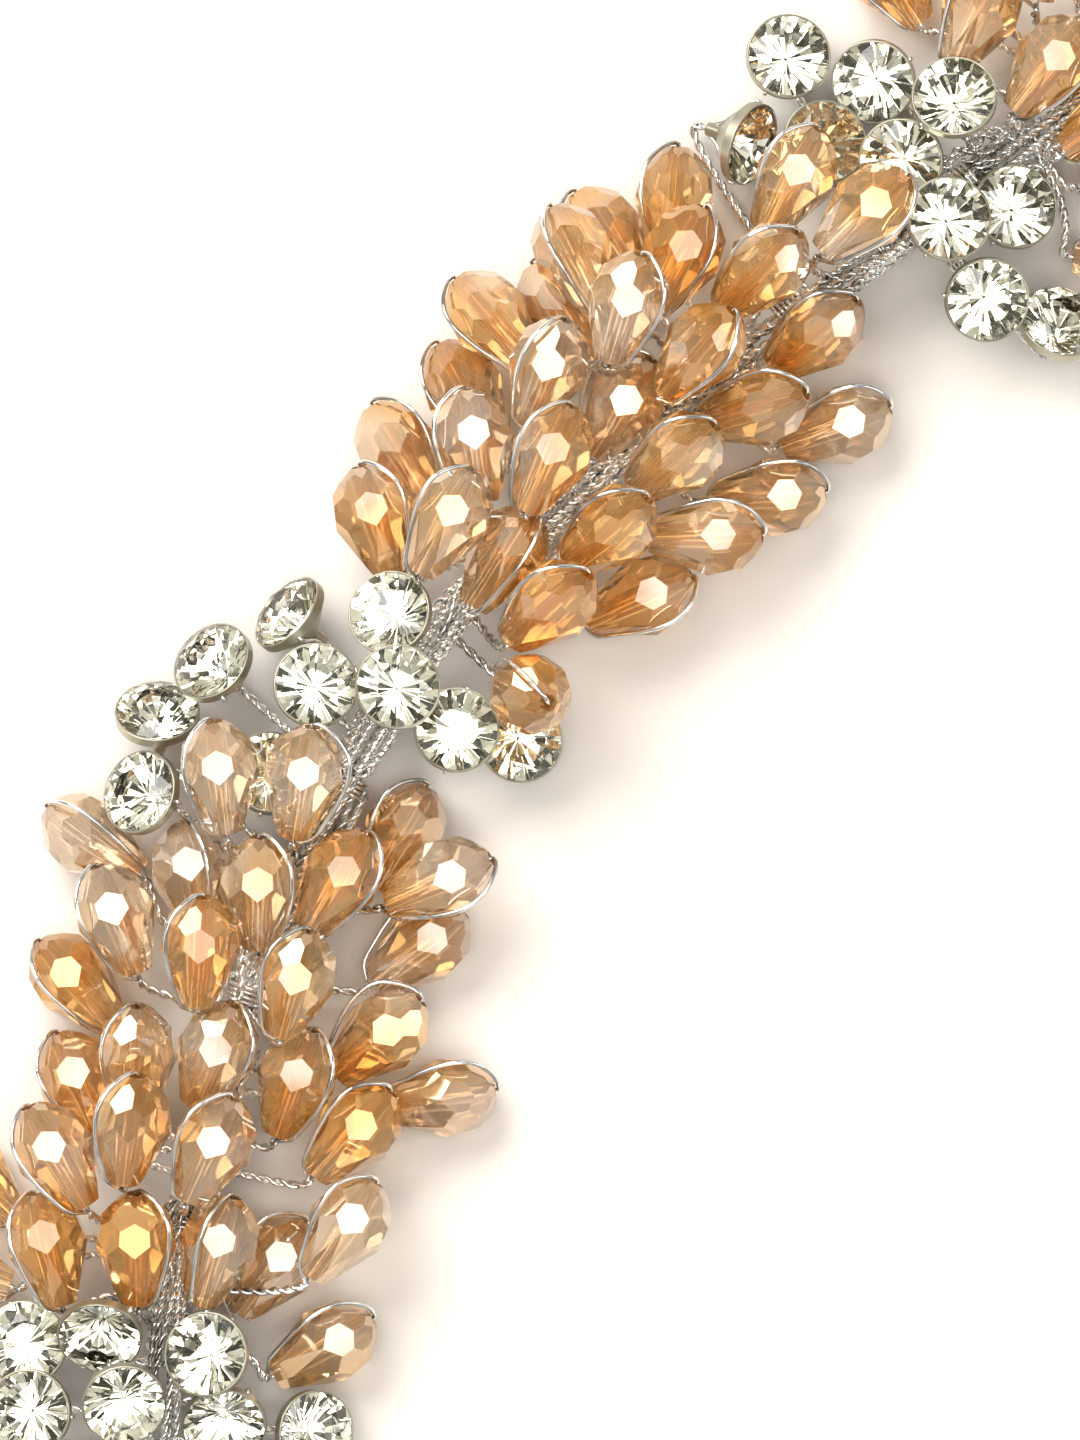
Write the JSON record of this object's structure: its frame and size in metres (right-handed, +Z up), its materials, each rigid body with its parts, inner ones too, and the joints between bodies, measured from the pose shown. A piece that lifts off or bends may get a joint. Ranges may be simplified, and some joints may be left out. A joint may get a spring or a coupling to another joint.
{
  "type": "hair chain",
  "caption": "Bridal hair vine of twisted silver wire with clusters of champagne faceted drop beads and clusters of clear set stones, and a wire eye at each end.",
  "frame": {"origin": "centre of the vine's bounding box in plan, on the surface that it lies on", "axes": "+X along the vine from the lower end towards the upper end, +Y to its left, +Z up from the surface towards the faces of the beads and stones"},
  "size_m": [0.1638, 0.048, 0.0132],
  "materials": {
    "bead_glass": "faceted champagne glass with a lustre coat",
    "clear_stone": "cut clear crystal with a foiled back",
    "setting_metal": "smooth dull gilt",
    "silver_wire": "bright silver plate"
  },
  "bodies": {
    "root": {"lower_beads": "bead_glass", "middle_beads": "bead_glass", "upper_beads": "bead_glass", "lower_stones": "clear_stone", "middle_stones": "clear_stone", "upper_stones": "clear_stone", "lower_settings": "setting_metal", "middle_settings": "setting_metal", "upper_settings": "setting_metal", "wirework": "silver_wire", "lower_eye": "silver_wire", "upper_eye": "silver_wire"}
  },
  "joints": []
}
